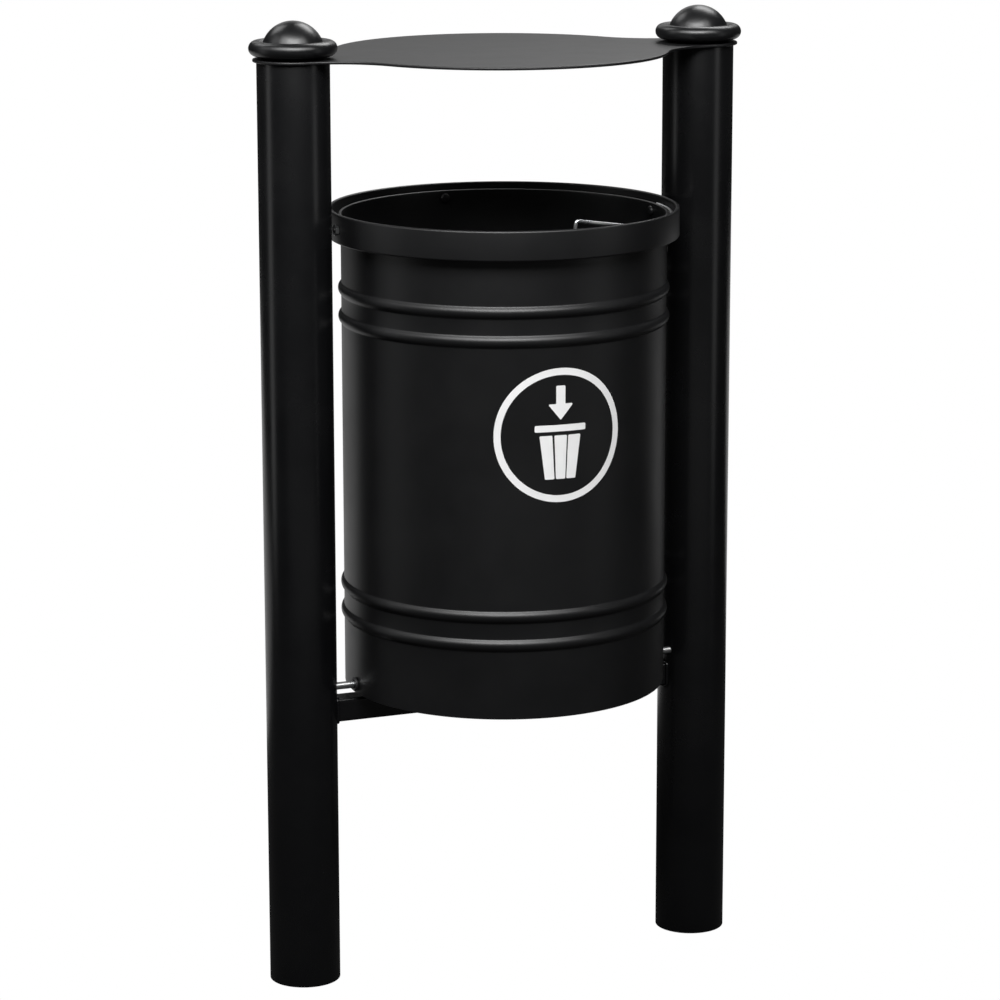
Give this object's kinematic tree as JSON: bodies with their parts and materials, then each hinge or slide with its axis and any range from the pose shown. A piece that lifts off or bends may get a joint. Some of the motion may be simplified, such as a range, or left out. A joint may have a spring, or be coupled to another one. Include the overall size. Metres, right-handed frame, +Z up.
{
  "type": "litter bin",
  "caption": "Cylindrical steel litter bucket that tilts between two round posts, under a flat roof plate clamped by the post finials, with a rim band, a bag bail and a key lock.",
  "frame": {"origin": "on the ground under the middle of the object's box, between the two posts", "axes": "+X from the left post to the right post, -Y to the front where the sign is, +Z up"},
  "size_m": [0.5546, 0.378, 1.0361],
  "materials": {
    "black_powder_coat": "satin black polyester powder coat on steel, with a fine orange peel",
    "black_cast_iron": "satin black powder coat over a cast surface",
    "zinc_plated_steel": "bright zinc plating",
    "black_nylon": "moulded, matt",
    "black_rubber": "moulded, matt",
    "white_print": "white screen print of the sign, which has no solid of its own"
  },
  "bodies": {
    "frame": {"left_post": "black_powder_coat", "right_post": "black_powder_coat", "crossbar": "black_powder_coat", "roof_plate": "black_powder_coat", "left_finial": "black_cast_iron", "right_finial": "black_cast_iron", "left_finial_stud": "zinc_plated_steel", "right_finial_stud": "zinc_plated_steel", "left_stud_nut": "zinc_plated_steel", "right_stud_nut": "zinc_plated_steel", "left_top_plate": "black_powder_coat", "right_top_plate": "black_powder_coat", "left_buffer": "black_rubber", "right_buffer": "black_rubber", "left_pivot_bolt": "zinc_plated_steel", "right_pivot_bolt": "zinc_plated_steel", "left_pivot_washer": "zinc_plated_steel", "right_pivot_washer": "zinc_plated_steel", "left_pivot_nut": "zinc_plated_steel", "right_pivot_nut": "zinc_plated_steel", "lock_housing": "zinc_plated_steel", "lock_guide": "black_nylon"},
    "bucket": {"bucket_shell": "black_powder_coat", "bucket_floor": "black_powder_coat", "rim_band": "black_powder_coat", "left_band_bolt": "black_powder_coat", "right_band_bolt": "black_powder_coat", "back_band_bolt": "black_powder_coat", "left_band_spacer": "zinc_plated_steel", "right_band_spacer": "zinc_plated_steel", "back_band_spacer": "zinc_plated_steel", "left_band_nut": "zinc_plated_steel", "right_band_nut": "zinc_plated_steel", "back_band_nut": "zinc_plated_steel", "left_pivot_bush": "black_nylon", "right_pivot_bush": "black_nylon", "lock_keeper": "black_powder_coat"},
    "bail": {"bag_bail": "zinc_plated_steel"},
    "lock_core": {"lock_barrel": "zinc_plated_steel"},
    "lock_slider": {"lock_bolt": "zinc_plated_steel"}
  },
  "joints": [
    {"name": "bucket_tilt", "type": "hinge", "parent": "frame", "child": "bucket", "pos_m": [0, -0.0065, 0.327], "axis": [1, 0, 0], "range_deg": [0, 50]},
    {"name": "bail_lift", "type": "hinge", "parent": "bucket", "child": "bail", "pos_m": [0, -0.0025, 0.818], "axis": [-1, 0, 0], "range_deg": [0, 60]},
    {"name": "lock_turn", "type": "hinge", "parent": "frame", "child": "lock_core", "pos_m": [0.26, 0.0075, 0.776], "axis": [1, 0, 0], "range_deg": [0, 90]},
    {"name": "lock_bolt_slide", "type": "slide", "parent": "frame", "child": "lock_slider", "axis": [-1, 0, 0], "range_m": [0, 0.0161]}
  ],
  "couplings": [
    {"joint": "lock_bolt_slide", "follows": "lock_turn", "m_per_rad": 0.01018}
  ]
}
